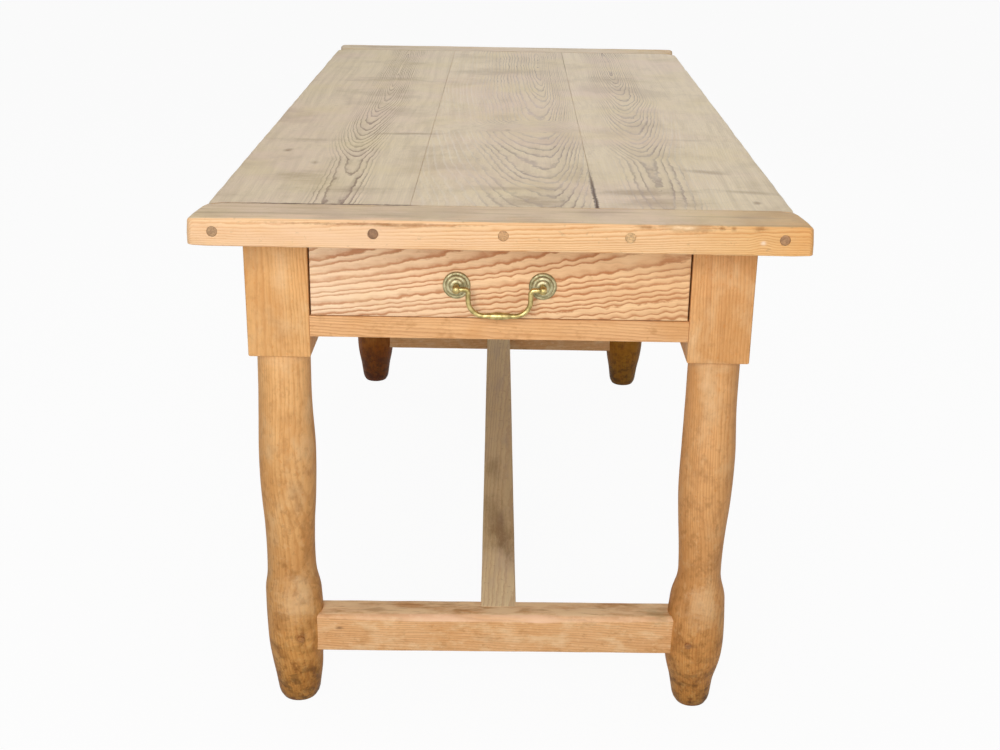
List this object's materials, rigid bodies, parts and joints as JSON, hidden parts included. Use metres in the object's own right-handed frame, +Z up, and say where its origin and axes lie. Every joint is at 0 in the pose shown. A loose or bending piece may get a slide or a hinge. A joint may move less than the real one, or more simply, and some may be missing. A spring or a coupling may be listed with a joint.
{
  "type": "kitchen table",
  "caption": "Farmhouse pine kitchen table with a boarded top, breadboard ends, turned legs, H-shaped stretchers and end drawers with brass bail pulls.",
  "frame": {"origin": "the middle of the floor under the table", "axes": "+Z up, +Y along the table towards the back end, +X to the right seen from the front end"},
  "size_m": [0.7672, 1.6, 0.764],
  "materials": {
    "top_wood": "old scrubbed pine, greyed and stained",
    "frame_wood": "waxed honey pine, worn",
    "drawer_front_wood": "waxed pine with strong wavy grain",
    "inner_wood": "bare pine",
    "peg_wood": "dark end grain",
    "aged_brass": "aged, greenish brown",
    "iron": "plain dark iron"
  },
  "bodies": {
    "table": {"apron_left": "frame_wood", "apron_pegs": "peg_wood", "apron_right": "frame_wood", "breadboard_back": "top_wood", "breadboard_dowels_back": "peg_wood", "breadboard_dowels_front": "peg_wood", "breadboard_front": "top_wood", "button_screws": "iron", "cross_bearer": "inner_wood", "drawer_guide_left": "inner_wood", "drawer_guide_right": "inner_wood", "drawer_kicker_left": "inner_wood", "drawer_kicker_right": "inner_wood", "drawer_rail_back": "frame_wood", "drawer_rail_front": "frame_wood", "drawer_runner_left": "inner_wood", "drawer_runner_right": "inner_wood", "drawer_stops_back": "inner_wood", "drawer_stops_front": "inner_wood", "leg_back_left": "frame_wood", "leg_back_right": "frame_wood", "leg_front_left": "frame_wood", "leg_front_right": "frame_wood", "stretcher_back": "frame_wood", "stretcher_front": "frame_wood", "stretcher_long": "frame_wood", "stretcher_pegs": "peg_wood", "top_board_left": "top_wood", "top_board_middle": "top_wood", "top_board_right": "top_wood", "top_buttons": "inner_wood", "top_spline_left": "inner_wood", "top_spline_right": "inner_wood"},
    "drawer_front": {"drawer_front_back": "inner_wood", "drawer_front_bottom": "inner_wood", "drawer_front_front": "drawer_front_wood", "drawer_front_nails": "iron", "drawer_front_side_left": "inner_wood", "drawer_front_side_right": "inner_wood", "pull_front_nuts": "iron", "pull_front_post_left": "aged_brass", "pull_front_post_right": "aged_brass", "pull_front_rosette_left": "aged_brass", "pull_front_rosette_right": "aged_brass"},
    "drawer_back": {"drawer_back_back": "inner_wood", "drawer_back_bottom": "inner_wood", "drawer_back_front": "drawer_front_wood", "drawer_back_nails": "iron", "drawer_back_side_left": "inner_wood", "drawer_back_side_right": "inner_wood", "pull_back_nuts": "iron", "pull_back_post_left": "aged_brass", "pull_back_post_right": "aged_brass", "pull_back_rosette_left": "aged_brass", "pull_back_rosette_right": "aged_brass"},
    "bail_front": {"pull_front_bail": "aged_brass"},
    "bail_back": {"pull_back_bail": "aged_brass"}
  },
  "joints": [
    {"name": "drawer_front_slide", "type": "slide", "parent": "table", "child": "drawer_front", "axis": [0, -1, 0], "range_m": [0, 0.42]},
    {"name": "drawer_back_slide", "type": "slide", "parent": "table", "child": "drawer_back", "axis": [0, 1, 0], "range_m": [0, 0.42]},
    {"name": "bail_front_swing", "type": "hinge", "parent": "drawer_front", "child": "bail_front", "pos_m": [0, -0.724, 0.654], "axis": [-1, 0, 0], "range_deg": [-23, 200]},
    {"name": "bail_back_swing", "type": "hinge", "parent": "drawer_back", "child": "bail_back", "pos_m": [0, 0.724, 0.654], "axis": [1, 0, 0], "range_deg": [-23, 200]}
  ]
}
